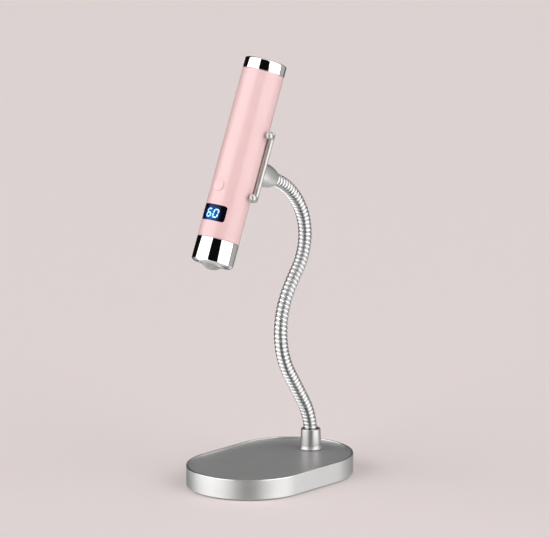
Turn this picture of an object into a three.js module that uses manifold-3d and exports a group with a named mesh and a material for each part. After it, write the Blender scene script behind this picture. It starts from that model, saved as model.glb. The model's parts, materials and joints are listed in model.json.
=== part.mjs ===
// Desk-standing UV LED nail lamp: a rechargeable torch held in a clip at the top of a gooseneck
// that rises from a weighted oval base. Millimetres, +Z up, origin under the centre of the base.
// The display faces -Y, the gooseneck stands at +Y, and the lamp is symmetric about x = 0.
import * as THREE from 'three';
import { mergeVertices } from 'three/addons/utils/BufferGeometryUtils.js';
import Module from 'manifold-3d';

const wasm = await Module();
wasm.setup();

// ---------- driving dimensions ----------
const GAP = 0.3;                     // assembly gap between neighbouring pieces
const FAR = 60;                      // reach of a cutting tool beyond the piece it cuts
const FINE = 36;                     // sides of a large round piece
const ROUND = 24;                    // sides of a middling one
const SMALL = 14;                    // sides of a small one

// base, an oval with straight sides along Y
const BASE_LENGTH = 126.6;
const BASE_WIDTH = 83.7;
const BASE_TOP = 14.1;
const SKIRT_BOTTOM = 0.5;
const BASE_WALL = 2.2;
const RIM_WIDTH = 1.3;
const PAD_TOP = 1.1;
const COVER_THICKNESS = 1.6;
const WEIGHT_THICKNESS = 5.6;
const WEB_BOTTOM = 9.6;
const WEB_TOP = 11.6;
const TOP_PLATE_THICKNESS = 0.7;
const BOSS_RADIUS = 3.4;
const SCREW_PLACES = [[-24, -38], [24, -38], [-24, 38], [24, 38]];
const SCREW_HEAD_RADIUS = 2.5;
const SCREW_SHANK_RADIUS = 1.25;
const SCREW_END = 8;

// socket that carries the gooseneck
const SOCKET_Y = 41.65;
const SOCKET_TOP = 26.8;
const SOCKET_RADIUS = 6.55;
const SOCKET_FOOT_RADIUS = 8;
const SOCKET_BORE = 5.2;
const STUD_RADIUS = 3.9;
const STUD_BOTTOM = 4.8;
const NUT_ACROSS_FLATS = 13;
const NUT_HEIGHT = 2.8;
const NUT_RECESS = 9;                // radius of the hole in the weight round the nut
const WASHER_RADIUS = 7.2;
const WASHER_THICKNESS = 0.6;

// gooseneck: arcs of [length, turn in degrees] in the plane x = 0, from inside the socket upwards
const NECK_RADIUS = 4.65;
const STUB_IN_SOCKET = 9;
const STUB_IN_HUB = 6;
const HUB_LEAD = 3.8;                // straight stretch just outside the hub
const NECK_ARCS = [
  [4, 0], [5, 6.5], [21, 26], [26.5, 1.5], [61.5, -66], [15, -6], [43, 65], [35.5, 40],
  [HUB_LEAD + STUB_IN_HUB, 0],
];
const LINK_COUNT = 10;
const NECK_SIDES = 16;
const BALL_RADIUS = 4.3;
const CUP_RADIUS = 5.2;

// torch, lens end at the bottom
const TORCH_TILT = 23;               // degrees from upright, tail towards +Y
const TORCH_RADIUS = 14;
const COLLAR_LENGTH = 16.3;
const BODY_END = 131.4;
const TORCH_END = 138.9;
const BODY_BORE = 12.2;
const SPIGOT_RADIUS = 11.9;
const SPIGOT_LENGTH = 6.7;           // of the collar's spigot inside the body
const COLLAR_BORE = 9.6;
const COLLAR_MOUTH = 8.1;
const INSERT_RADIUS = 9.3;           // of the parts stacked inside the collar
const LENS_RADIUS = 6.9;
const LENS_HEIGHT = 3.4;             // the dome stands this far out of the rim
const LENS_CURVE = 9.2;
const LENS_SEAT = 2.3;
const LENS_BACK = 4;
const REFLECTOR_BOTTOM = 5.6;
const REFLECTOR_TOP = 12.6;
const LED_BOARD_TOP = 14.5;
const SINK_TOP = 23;
const DISPLAY_CENTRE = 32.7;
const DISPLAY_HEIGHT = 10.9;
const DISPLAY_HALF_WIDTH = 9.6;
const BUTTON_CENTRE = 51;
const BUTTON_RADIUS = 3.9;
const CELL_RADIUS = 9.15;
const CELL_LENGTH = 65.2;
const CELL_BOTTOM = 50;
const CELL_OFFSET = 1.9;             // the cell sits this far behind the torch axis
const BAY_BOTTOM = 48.5;
const BAY_TOP = 116.2;
const FRAME_BOTTOM = 46;
const FRAME_TOP = 121;
const CAP_SPIGOT_BOTTOM = 124.4;
const CAP_BORE = 10.8;
const CAP_END_THICKNESS = 1.7;
const BOARD_FRONT = -8.6;
const BOARD_BACK = -7.6;

// clip behind the torch and the hub that joins it to the gooseneck
const HUB_HEIGHT = 68;               // along the torch from its lens-end rim
const HUB_REACH = 36.8;              // from the torch axis to the hub's mouth
const HUB_RADIUS = 8.6;
const HUB_DOME_START = 20;           // from the torch axis, where the hub's side begins to close in
const HUB_LIP_RADIUS = 5.5;
const CLIP_BOTTOM = 46.4;
const CLIP_TOP = 95;
const CLIP_INNER = 14.3;
const CLIP_OUTER = 18.3;
const CLIP_HALF_ANGLE = 50;
const CLAW_ANGLE = 80;
const CLAW_HEIGHTS = [48.8, 91.2];
const CLAW_RADIUS = 1.9;
const CLAW_BALL_RADIUS = 2.5;
const MAGNET_OFFSET = 15.5;
const CLIP_SCREW_END = 27;
const CLIP_SCREW_HEAD = 3;
const CLIP_SCREW_SHANK = 1.5;
const MAGNET_RADIUS = 4;
const MAGNET_THICKNESS = 2;
const SEAT_DEPTH = 0.4;              // screw and magnets lie this far below the clip's inner face

// ---------- materials ----------
function finish(color, roughness, metalness) {
  return new THREE.MeshStandardMaterial({ color, roughness, metalness });
}
const satinSilver = () => finish(0xc9cacb, 0.35, 0.9);
const tableGrey = () => finish(0x83858a, 0.4, 0.8);
const darkSteel = () => finish(0x5a5c60, 0.5, 0.9);
const zincSteel = () => finish(0xb4b6ba, 0.4, 1);
const chrome = () => finish(0xe8e8ea, 0.06, 1);
const satinNickel = () => finish(0xa9aba6, 0.3, 0.95);
const pinkEnamel = () => finish(0xf4cfd0, 0.35, 0);
const rubber = () => finish(0x1c1c1e, 0.9, 0);
const blackGloss = () => finish(0x08080c, 0.08, 0);
const clearGlass = () => finish(0xdfe8e2, 0.05, 0);
const boardGreen = () => finish(0x1d6b3a, 0.6, 0);
const whitePlastic = () => finish(0xe9e9e6, 0.5, 0);
const cellWrap = () => finish(0x2f62a8, 0.45, 0);
const brass = () => finish(0xc9a24a, 0.35, 1);

// ---------- solid helpers ----------
const radians = THREE.MathUtils.degToRad;

function solid(geometry) {
  const bare = geometry.clone();
  bare.deleteAttribute('normal');
  bare.deleteAttribute('uv');
  const merged = mergeVertices(bare, 1e-4);
  const mesh = new wasm.Mesh({
    numProp: 3,
    vertProperties: new Float32Array(merged.attributes.position.array),
    triVerts: new Uint32Array(merged.index.array),
  });
  return new wasm.Manifold(mesh);
}

function geometryOf(body) {
  const mesh = body.getMesh();
  const geometry = new THREE.BufferGeometry();
  geometry.setAttribute('position', new THREE.BufferAttribute(mesh.vertProperties, 3));
  geometry.setIndex(new THREE.BufferAttribute(mesh.triVerts, 1));
  return geometry;
}

function cut(geometry, ...tools) {
  return geometryOf(tools.reduce((body, tool) => body.subtract(solid(tool)), solid(geometry)));
}

function join(geometry, ...others) {
  return geometryOf(others.reduce((body, other) => body.add(solid(other)), solid(geometry)));
}

function common(geometry, other) {
  return geometryOf(solid(geometry).intersect(solid(other)));
}

// A turned piece about Z from points [radius, height].
function turned(points, sides = ROUND) {
  const profile = points.map(([radius, height]) => new THREE.Vector2(radius, height));
  return new THREE.LatheGeometry(profile, sides).rotateX(Math.PI / 2);
}

function drum(radius, low, high, sides = ROUND) {
  return turned([[0, low], [radius, low], [radius, high], [0, high]], sides);
}

function washerRing(inner, outer, low, high, sides = ROUND) {
  return turned([[inner, low], [outer, low], [outer, high], [inner, high], [inner, low]], sides);
}

function box(x, y, z) {
  const size = [x, y, z].map(([low, high]) => high - low);
  const centre = [x, y, z].map(([low, high]) => (low + high) / 2);
  return new THREE.BoxGeometry(...size).translate(...centre);
}

// A plate of the given outline between two heights.
function plate(outline, low, high, segments = 12) {
  const options = { depth: high - low, bevelEnabled: false, curveSegments: segments };
  return new THREE.ExtrudeGeometry(outline, options).translate(0, 0, low);
}

function roundedRectangle(halfWidth, halfHeight, radius) {
  const shape = new THREE.Shape();
  const x = halfWidth - radius;
  const y = halfHeight - radius;
  shape.absarc(x, -y, radius, -Math.PI / 2, 0);
  shape.absarc(x, y, radius, 0, Math.PI / 2);
  shape.absarc(-x, y, radius, Math.PI / 2, Math.PI);
  shape.absarc(-x, -y, radius, Math.PI, 1.5 * Math.PI);
  shape.closePath();
  return shape;
}

// The base's oval, drawn in by an inset.
function oval(inset) {
  const shape = new THREE.Shape();
  const radius = BASE_WIDTH / 2 - inset;
  const reach = (BASE_LENGTH - BASE_WIDTH) / 2;
  shape.absarc(0, reach, radius, 0, Math.PI);
  shape.absarc(0, -reach, radius, Math.PI, 2 * Math.PI);
  shape.closePath();
  return shape;
}

// Turns a piece made about Z so that its axis lies along +Y, at a height on the torch.
function alongY(geometry, height) {
  return geometry.rotateX(-Math.PI / 2).translate(0, 0, height);
}

function rodAlong(path, radius, steps, sides) {
  const section = new THREE.Shape();
  for (let side = 0; side < sides; side += 1) {
    const angle = (2 * Math.PI * side) / sides;
    const place = [radius * Math.cos(angle), radius * Math.sin(angle)];
    if (side === 0) section.moveTo(...place);
    else section.lineTo(...place);
  }
  section.closePath();
  return new THREE.ExtrudeGeometry(section, { steps, extrudePath: path, bevelEnabled: false });
}

function add(group, name, geometry, material) {
  const mesh = new THREE.Mesh(geometry, material);
  mesh.name = name;
  group.add(mesh);
}

// ---------- base ----------
const OVAL_SEGMENTS = 16;

// A countersunk screw standing head down, or the hole it needs when a clearance is given.
function countersunk(headRadius, shankRadius, seat, end, clearance) {
  const head = headRadius + clearance;
  const shank = shankRadius + clearance;
  const neck = seat + headRadius - shankRadius + clearance;
  return turned([
    [0, seat - clearance], [head, seat - clearance], [head, seat + clearance], [shank, neck + clearance],
    [shank, end + clearance], [0, end + clearance],
  ].filter(([radius, height], place) => place !== 2 || clearance > 0), SMALL);
}

function baseScrewTool(clearance) {
  return countersunk(SCREW_HEAD_RADIUS, SCREW_SHANK_RADIUS, PAD_TOP + 2 * GAP, SCREW_END, clearance);
}

function atScrews(makeTool) {
  return SCREW_PLACES.map(([x, y]) => makeTool().translate(x, y, 0));
}

function baseShell() {
  const body = plate(oval(0), SKIRT_BOTTOM, BASE_TOP, OVAL_SEGMENTS);
  const recess = plate(oval(RIM_WIDTH), WEB_TOP, BASE_TOP + FAR, OVAL_SEGMENTS);
  const cavity = plate(oval(BASE_WALL), SKIRT_BOTTOM - FAR, WEB_BOTTOM, OVAL_SEGMENTS);
  const studHole = drum(STUD_RADIUS + GAP, 0, FAR).translate(0, SOCKET_Y, 0);
  const bossBottom = PAD_TOP + GAP + COVER_THICKNESS + GAP;
  const bosses = atScrews(() => drum(BOSS_RADIUS, bossBottom, WEB_BOTTOM + 1, SMALL));
  const pilots = atScrews(() => drum(SCREW_SHANK_RADIUS + GAP, bossBottom - 1, SCREW_END + GAP, SMALL));
  return cut(join(cut(body, recess, cavity, studHole), ...bosses), ...pilots);
}

function baseWeight() {
  const low = PAD_TOP + GAP + COVER_THICKNESS + GAP;
  const slab = plate(oval(BASE_WALL + 2 * GAP), low, low + WEIGHT_THICKNESS, OVAL_SEGMENTS);
  const bossHoles = atScrews(() => drum(BOSS_RADIUS + 2 * GAP, 0, FAR, SMALL));
  const nutHole = drum(NUT_RECESS, 0, FAR).translate(0, SOCKET_Y, 0);
  return cut(slab, ...bossHoles, nutHole);
}

function baseCover() {
  const low = PAD_TOP + GAP;
  const slab = plate(oval(BASE_WALL + GAP), low, low + COVER_THICKNESS, OVAL_SEGMENTS);
  return cut(slab, ...atScrews(() => baseScrewTool(GAP)));
}

function topPlate() {
  const low = WEB_TOP + GAP;
  const slab = plate(oval(RIM_WIDTH + GAP), low, low + TOP_PLATE_THICKNESS, OVAL_SEGMENTS);
  return cut(slab, drum(STUD_RADIUS + GAP, 0, FAR).translate(0, SOCKET_Y, 0));
}

function neckSocket() {
  const foot = WEB_TOP + 2 * GAP + TOP_PLATE_THICKNESS;
  const profile = [
    [0, STUD_BOTTOM], [STUD_RADIUS, STUD_BOTTOM], [STUD_RADIUS, foot], [SOCKET_FOOT_RADIUS, foot],
    [SOCKET_FOOT_RADIUS, foot + 0.5], [7.45, foot + 1.1], [7.1, foot + 2], [6.95, foot + 3.2],
    [SOCKET_RADIUS, SOCKET_TOP - 0.9], [SOCKET_RADIUS - 0.25, SOCKET_TOP - 0.3],
    [SOCKET_RADIUS - 0.75, SOCKET_TOP], [SOCKET_BORE, SOCKET_TOP],
    [SOCKET_BORE, SOCKET_TOP - STUB_IN_SOCKET - GAP], [0, SOCKET_TOP - STUB_IN_SOCKET - GAP],
  ];
  return turned(profile).translate(0, SOCKET_Y, 0);
}

function socketNut(low) {
  const circumscribed = NUT_ACROSS_FLATS / Math.sqrt(3);
  const hexagon = drum(circumscribed, low, low + NUT_HEIGHT, 6);
  return cut(hexagon, drum(STUD_RADIUS + GAP, 0, FAR)).translate(0, SOCKET_Y, 0);
}

function buildBase() {
  const base = new THREE.Group();
  add(base, 'anti_slip_pad', plate(oval(BASE_WALL + 1), 0, PAD_TOP, OVAL_SEGMENTS), rubber());
  add(base, 'base_cover', baseCover(), darkSteel());
  add(base, 'base_weight', baseWeight(), darkSteel());
  add(base, 'base_shell', baseShell(), satinSilver());
  add(base, 'base_top_plate', topPlate(), tableGrey());
  SCREW_PLACES.forEach(([x, y], index) => {
    add(base, `base_screw_${index + 1}`, baseScrewTool(0).translate(x, y, 0), zincSteel());
  });
  const washerTop = WEB_BOTTOM - GAP;
  const washerBottom = washerTop - WASHER_THICKNESS;
  const washer = washerRing(STUD_RADIUS + GAP, WASHER_RADIUS, washerBottom, washerTop);
  add(base, 'socket_washer', washer.translate(0, SOCKET_Y, 0), zincSteel());
  add(base, 'socket_nut', socketNut(washerBottom - GAP - NUT_HEIGHT), zincSteel());
  add(base, 'neck_socket', neckSocket(), satinSilver());
  return base;
}

// ---------- gooseneck ----------
// Place and heading (degrees from +Y towards +Z) at a length along the neck's centre line,
// which is a chain of arcs in the plane x = 0.
function neckAt(length) {
  let [y, z, heading, left] = [SOCKET_Y, SOCKET_TOP - STUB_IN_SOCKET, 90, length];
  for (const [arc, turn] of NECK_ARCS) {
    const run = Math.min(arc, left);
    const bend = (turn * run) / arc;
    const chordShare = bend === 0 ? 1 : Math.sin(radians(bend / 2)) / radians(bend / 2);
    y += run * chordShare * Math.cos(radians(heading + bend / 2));
    z += run * chordShare * Math.sin(radians(heading + bend / 2));
    heading += bend;
    left -= run;
  }
  return { y, z, heading };
}

// Bends a piece turned about Z, whose heights are lengths along the neck, onto the centre line.
// Past `end` it carries on straight.
function bentAlongNeck(geometry, end) {
  const place = geometry.attributes.position;
  for (let i = 0; i < place.count; i += 1) {
    const [x, side, length] = [place.getX(i), place.getY(i), place.getZ(i)];
    const { y, z, heading } = neckAt(Math.min(length, end));
    const past = Math.max(length - end, 0);
    const [across, along] = [Math.sin(radians(heading)), Math.cos(radians(heading))];
    place.setXYZ(i, x, y + side * across + past * along, z - side * along + past * across);
  }
  return geometry;
}

const NECK_LENGTH = NECK_ARCS.reduce((sum, [arc]) => sum + arc, 0);
const FREE_LENGTH = NECK_LENGTH - STUB_IN_SOCKET - STUB_IN_HUB;

// Where link number `index` pivots on the link below it.
function pivotLength(index) {
  return STUB_IN_SOCKET + (FREE_LENGTH * index) / LINK_COUNT;
}

// Points [radius, length] on a ball centred on the neck line, over a span of angles from its top.
function ballPoints(radius, centre, fromAngle, toAngle, steps) {
  return Array.from({ length: steps + 1 }, (_, step) => {
    const angle = fromAngle + ((toAngle - fromAngle) * step) / steps;
    return [radius * Math.sin(angle), centre + radius * Math.cos(angle)];
  });
}

// One link: a rod with a ball on top and, underneath, a cup that rides on the ball below.
function neckLink(index) {
  const first = index === 0;
  const last = index === LINK_COUNT - 1;
  const from = first ? 0 : pivotLength(index);
  const to = last ? NECK_LENGTH : pivotLength(index + 1);
  const cupMouth = Math.asin(NECK_RADIUS / CUP_RADIUS);
  const bottom = first ? [[0, 0], [NECK_RADIUS, 0]] : ballPoints(CUP_RADIUS, from, 0, cupMouth, 4);
  const top = last ? [[0, to]] : ballPoints(BALL_RADIUS, to, Math.PI / 2, 0, 4);
  const wallStart = bottom.at(-1)[1];
  const steps = Math.round((to - wallStart) / 4);
  const wall = Array.from({ length: steps }, (_, step) => {
    return [NECK_RADIUS, wallStart + ((to - wallStart) * (step + 1)) / steps];
  });
  return bentAlongNeck(turned([...bottom, ...wall, ...top], NECK_SIDES), to);
}

function buildNeck() {
  const neck = new THREE.Group();
  for (let index = 0; index < LINK_COUNT; index += 1) {
    add(neck, `neck_link_${String(index + 1).padStart(2, '0')}`, neckLink(index), chrome());
  }
  return neck;
}

// ---------- clip and hub, in the torch's frame: axis +Z, display towards -Y ----------
function onClip(angle, radius, height) {
  const turn = radians(angle);
  return new THREE.Vector3(radius * Math.sin(turn), radius * Math.cos(turn), height);
}

function clipTrough() {
  const shape = new THREE.Shape();
  const start = radians(90 - CLIP_HALF_ANGLE);
  const end = radians(90 + CLIP_HALF_ANGLE);
  const middle = (CLIP_INNER + CLIP_OUTER) / 2;
  const bead = (CLIP_OUTER - CLIP_INNER) / 2;
  shape.absarc(0, 0, CLIP_OUTER, start, end);
  shape.absarc(middle * Math.cos(end), middle * Math.sin(end), bead, end, end + Math.PI);
  shape.absarc(0, 0, CLIP_INNER, end, start, true);
  shape.absarc(middle * Math.cos(start), middle * Math.sin(start), bead, start - Math.PI, start);
  shape.closePath();
  return plate(shape, CLIP_BOTTOM, CLIP_TOP, 7);
}

// A claw reaching round the torch from one corner of the clip, ending in a ball.
function clipClaw(side, height) {
  const reach = (CLIP_INNER + CLIP_OUTER) / 2 + 0.2;
  const angles = [42, 56, 68, CLAW_ANGLE];
  const path = new THREE.CatmullRomCurve3(angles.map((angle) => onClip(side * angle, reach, height)));
  const rod = rodAlong(path, CLAW_RADIUS, 4, 8);
  const tip = onClip(side * CLAW_ANGLE, CLIP_INNER + CLAW_BALL_RADIUS + 0.1, height);
  return join(rod, new THREE.SphereGeometry(CLAW_BALL_RADIUS, 10, 8).translate(tip.x, tip.y, tip.z));
}

function clipScrewTool(clearance) {
  const seat = CLIP_INNER + SEAT_DEPTH;
  return alongY(countersunk(CLIP_SCREW_HEAD, CLIP_SCREW_SHANK, seat, CLIP_SCREW_END, clearance), HUB_HEIGHT);
}

function magnetTool(clearance, height) {
  const face = CLIP_INNER + SEAT_DEPTH;
  const front = clearance > 0 ? face - 2 : face;
  return alongY(drum(MAGNET_RADIUS + clearance, front, face + MAGNET_THICKNESS + clearance, SMALL), height);
}

const MAGNET_HEIGHTS = [HUB_HEIGHT - MAGNET_OFFSET, HUB_HEIGHT + MAGNET_OFFSET];

function torchClip() {
  const claws = CLAW_HEIGHTS.flatMap((height) => [clipClaw(-1, height), clipClaw(1, height)]);
  const pockets = MAGNET_HEIGHTS.map((height) => magnetTool(GAP, height));
  const blank = join(clipTrough(), ...claws);
  return cut(blank, clipScrewTool(GAP), ...pockets);
}

// The hub's side, from where it begins to close in to the mouth: a swelling dome.
function hubDome() {
  const steps = 8;
  return Array.from({ length: steps + 1 }, (_, step) => {
    const share = step / steps;
    const swell = (1 - share ** 1.8) ** 0.75;
    const radius = HUB_LIP_RADIUS + (HUB_RADIUS - HUB_LIP_RADIUS) * swell;
    return [radius, HUB_DOME_START + (HUB_REACH - HUB_DOME_START) * share];
  });
}

function neckHub() {
  const boreRadius = NECK_RADIUS + 0.35;
  const boreEnd = HUB_REACH - STUB_IN_HUB - GAP;
  const root = CLIP_INNER + 1;
  const profile = [
    [0, root], [HUB_RADIUS, root], ...hubDome(), [boreRadius, HUB_REACH], [boreRadius, boreEnd], [0, boreEnd],
  ];
  const saddle = drum(CLIP_OUTER + GAP, 0, FAR * 2, 48);
  const screwHole = alongY(drum(CLIP_SCREW_SHANK + GAP, 0, CLIP_SCREW_END + GAP, SMALL), HUB_HEIGHT);
  return cut(alongY(turned(profile), HUB_HEIGHT), saddle, screwHole);
}

function buildClip() {
  const clip = new THREE.Group();
  add(clip, 'neck_hub', neckHub(), satinNickel());
  add(clip, 'torch_clip', torchClip(), satinNickel());
  add(clip, 'clip_screw', clipScrewTool(0), zincSteel());
  ['lower', 'upper'].forEach((name, index) => {
    add(clip, `clip_magnet_${name}`, magnetTool(0, MAGNET_HEIGHTS[index]), zincSteel());
  });
  return clip;
}

// ---------- torch, in its own frame: axis +Z from the lens-end rim, display towards -Y ----------
function frontCollar() {
  const end = COLLAR_LENGTH + SPIGOT_LENGTH;
  const lipTop = LENS_SEAT - GAP;
  const mouthFlare = COLLAR_MOUTH + 1.1;
  return turned([
    [mouthFlare, 0], [12.6, 0], [13.5, 0.6], [TORCH_RADIUS, 1.4], [TORCH_RADIUS, COLLAR_LENGTH],
    [SPIGOT_RADIUS, COLLAR_LENGTH], [SPIGOT_RADIUS, end], [COLLAR_BORE, end],
    [COLLAR_BORE, lipTop], [COLLAR_MOUTH, lipTop], [COLLAR_MOUTH, 1.2], [mouthFlare, 0],
  ], FINE);
}

function lens() {
  const points = [];
  const steps = 6;
  const sweep = Math.asin(LENS_RADIUS / LENS_CURVE);
  const flange = INSERT_RADIUS - 0.1;
  for (let step = 0; step <= steps; step += 1) {
    const angle = (sweep * step) / steps;
    points.push([LENS_CURVE * Math.sin(angle), LENS_CURVE * (1 - Math.cos(angle)) - LENS_HEIGHT]);
  }
  points.push([LENS_RADIUS, LENS_SEAT], [flange, LENS_SEAT], [flange, LENS_BACK], [0, LENS_BACK]);
  return turned(points);
}

function reflector() {
  return turned([
    [8.2, REFLECTOR_BOTTOM], [INSERT_RADIUS, REFLECTOR_BOTTOM], [INSERT_RADIUS, REFLECTOR_TOP],
    [3, REFLECTOR_TOP], [3, REFLECTOR_TOP - 0.8], [4.6, 9], [8.2, REFLECTOR_BOTTOM],
  ]);
}

function ledEmitter() {
  const half = 1.75;
  const low = REFLECTOR_TOP - 1;
  const base = box([-half, half], [-half, half], [low, REFLECTOR_TOP]);
  return join(base, new THREE.SphereGeometry(1.2, 8, 6).translate(0, 0, low - GAP));
}

function heatSink() {
  const bottom = LED_BOARD_TOP + GAP;
  const bore = 1.5;
  const coreRadius = 7;
  const finPitch = 2.6;
  const finThickness = 1.4;
  const profile = [[bore, bottom], [INSERT_RADIUS, bottom]];
  for (let fin = 0; fin < 3; fin += 1) {
    const start = bottom + finPitch * fin;
    const top = start + finThickness;
    profile.push([INSERT_RADIUS, top], [coreRadius, top]);
    profile.push([coreRadius, start + finPitch], [INSERT_RADIUS, start + finPitch]);
  }
  profile.push([INSERT_RADIUS, SINK_TOP], [bore, SINK_TOP], [bore, bottom]);
  return turned(profile, 20);
}

// A block with round corners, standing across the torch's front wall.
function frontBlock(halfWidth, halfHeight, radius, height) {
  const block = plate(roundedRectangle(halfWidth, halfHeight, radius), -TORCH_RADIUS - 4, -6, 4);
  return block.rotateX(-Math.PI / 2).translate(0, 0, height);
}

function torchTube(inner, outer, low, high) {
  return washerRing(inner, outer, low, high, FINE);
}

function torchBody() {
  const tube = torchTube(BODY_BORE, TORCH_RADIUS, COLLAR_LENGTH + GAP, BODY_END - GAP);
  const window = frontBlock(DISPLAY_HALF_WIDTH, DISPLAY_HEIGHT / 2, 1.6, DISPLAY_CENTRE);
  const buttonHole = alongY(drum(BUTTON_RADIUS + GAP, -FAR, 0), BUTTON_CENTRE);
  return cut(tube, window, buttonHole);
}

function displayWindow() {
  const block = frontBlock(DISPLAY_HALF_WIDTH - GAP, DISPLAY_HEIGHT / 2 - GAP, 1.3, DISPLAY_CENTRE);
  return common(torchTube(12.7, TORCH_RADIUS - 0.05, 20, 45), block);
}

function buttonCap() {
  const flange = alongY(drum(4.9, -10.9, -10.3), BUTTON_CENTRE);
  const stem = alongY(drum(BUTTON_RADIUS, -FAR / 2, -10.5), BUTTON_CENTRE);
  return join(common(stem, drum(TORCH_RADIUS + 0.3, 40, 60, 48)), flange);
}

function innerFrame() {
  const blank = drum(SPIGOT_RADIUS, FRAME_BOTTOM, FRAME_TOP);
  const cellBore = drum(CELL_RADIUS + 2 * GAP, BAY_BOTTOM, BAY_TOP).translate(0, CELL_OFFSET, 0);
  const springBore = drum(6, BAY_TOP - 6, FAR * 3).translate(0, CELL_OFFSET, 0);
  const frontFlat = box([-FAR, FAR], [-FAR, BOARD_BACK + GAP], [0, FAR * 3]);
  const backWindow = box([-6, 6], [8, FAR], [BAY_BOTTOM, BAY_TOP]);
  return cut(blank, cellBore, springBore, frontFlat, backWindow);
}

function batteryCell() {
  const top = CELL_BOTTOM + CELL_LENGTH;
  const nub = CELL_BOTTOM + 0.8;
  const profile = [
    [0, CELL_BOTTOM], [3, CELL_BOTTOM], [3, nub], [CELL_RADIUS, nub], [CELL_RADIUS, top], [0, top],
  ];
  return turned(profile).translate(0, CELL_OFFSET, 0);
}

// A three-turn cone spring standing on the rear contact.
class ConeSpring extends THREE.Curve {
  getPoint(share, target = new THREE.Vector3()) {
    const angle = 6 * Math.PI * share;
    const radius = 4.6 - 1.4 * share;
    return target.set(radius * Math.cos(angle), CELL_OFFSET + radius * Math.sin(angle), 118.9 - 2.8 * share);
  }
}

function steelKeeper() {
  const shape = new THREE.Shape();
  const start = radians(90 - 24);
  const end = radians(90 + 24);
  shape.absarc(0, 0, 11.9, start, end);
  shape.absarc(0, 0, 11.4, end, start, true);
  shape.closePath();
  return plate(shape, CELL_BOTTOM + 1, HUB_HEIGHT * 2 - CELL_BOTTOM - 1, 6);
}

function tailCap() {
  const cavityTop = TORCH_END - CAP_END_THICKNESS;
  const shell = turned([
    [0, cavityTop], [CAP_BORE, cavityTop], [CAP_BORE, CAP_SPIGOT_BOTTOM], [SPIGOT_RADIUS, CAP_SPIGOT_BOTTOM],
    [SPIGOT_RADIUS, BODY_END], [TORCH_RADIUS, BODY_END], [TORCH_RADIUS, TORCH_END - 1.1],
    [13.7, TORCH_END - 0.35], [13, TORCH_END], [0, TORCH_END],
  ], FINE);
  return cut(shell, plate(roundedRectangle(4.8, 1.95, 1.9), 130, FAR * 3, 5));
}

function usbReceptacle() {
  const body = plate(roundedRectangle(4.5, 1.65, 1.6), 128.5, TORCH_END - 0.6, 4);
  const mouth = plate(roundedRectangle(4.2, 1.3, 1.2), 132, TORCH_END + 2, 4);
  const tongue = box([-3.3, 3.3], [-0.35, 0.35], [131, TORCH_END - 1.4]);
  return join(cut(body, mouth), tongue);
}

function buildTorch() {
  const torch = new THREE.Group();
  add(torch, 'front_collar', frontCollar(), chrome());
  add(torch, 'lens', lens(), clearGlass());
  const gasketBottom = LENS_BACK + GAP;
  add(torch, 'lens_gasket', washerRing(7.8, 9.2, gasketBottom, REFLECTOR_BOTTOM - GAP), rubber());
  add(torch, 'reflector', reflector(), whitePlastic());
  add(torch, 'uv_led', ledEmitter(), brass());
  add(torch, 'led_board', drum(INSERT_RADIUS, REFLECTOR_TOP + GAP, LED_BOARD_TOP), whitePlastic());
  add(torch, 'heat_sink', heatSink(), satinSilver());
  add(torch, 'torch_body', torchBody(), pinkEnamel());
  add(torch, 'display_window', displayWindow(), blackGloss());
  add(torch, 'display_module', box([-6.6, 6.6], [-10.5, BOARD_FRONT - GAP], [28.2, 37]), whitePlastic());
  add(torch, 'button_cap', buttonCap(), pinkEnamel());
  add(torch, 'tact_switch', box([-2.25, 2.25], [-9.5, BOARD_FRONT - GAP], [48.75, 53.25]), darkSteel());
  add(torch, 'main_board', box([-7.9, 7.9], [BOARD_FRONT, BOARD_BACK], [24.5, 57]), boardGreen());
  add(torch, 'inner_frame', innerFrame(), whitePlastic());
  add(torch, 'battery_cell', batteryCell(), cellWrap());
  add(torch, 'front_contact', drum(5, 49.1, 49.7, SMALL).translate(0, CELL_OFFSET, 0), brass());
  add(torch, 'battery_spring', rodAlong(new ConeSpring(), 0.4, 30, 5), zincSteel());
  add(torch, 'rear_contact', drum(5.6, 119.7, 120.3, SMALL).translate(0, CELL_OFFSET, 0), brass());
  add(torch, 'steel_keeper', steelKeeper(), zincSteel());
  add(torch, 'charge_board', drum(10.4, 127, 128.2), boardGreen());
  add(torch, 'usb_receptacle', usbReceptacle(), zincSteel());
  add(torch, 'tail_cap', tailCap(), chrome());
  return torch;
}

// ---------- assembly ----------
const lamp = new THREE.Group();
const hubMouth = neckAt(NECK_LENGTH - STUB_IN_HUB);
const tilt = radians(TORCH_TILT);
const head = new THREE.Group();
head.rotation.x = -tilt;
head.position.set(
  0,
  hubMouth.y - HUB_REACH * Math.cos(tilt) - HUB_HEIGHT * Math.sin(tilt),
  hubMouth.z + HUB_REACH * Math.sin(tilt) - HUB_HEIGHT * Math.cos(tilt),
);
head.add(buildClip(), buildTorch());
lamp.add(buildBase(), buildNeck(), head);

export default lamp;
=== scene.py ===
"""UV LED nail lamp: a rechargeable torch clipped to the end of a gooseneck on a weighted oval base."""
import json
import math

import bmesh
import bpy
from mathutils import Matrix, Vector


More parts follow.
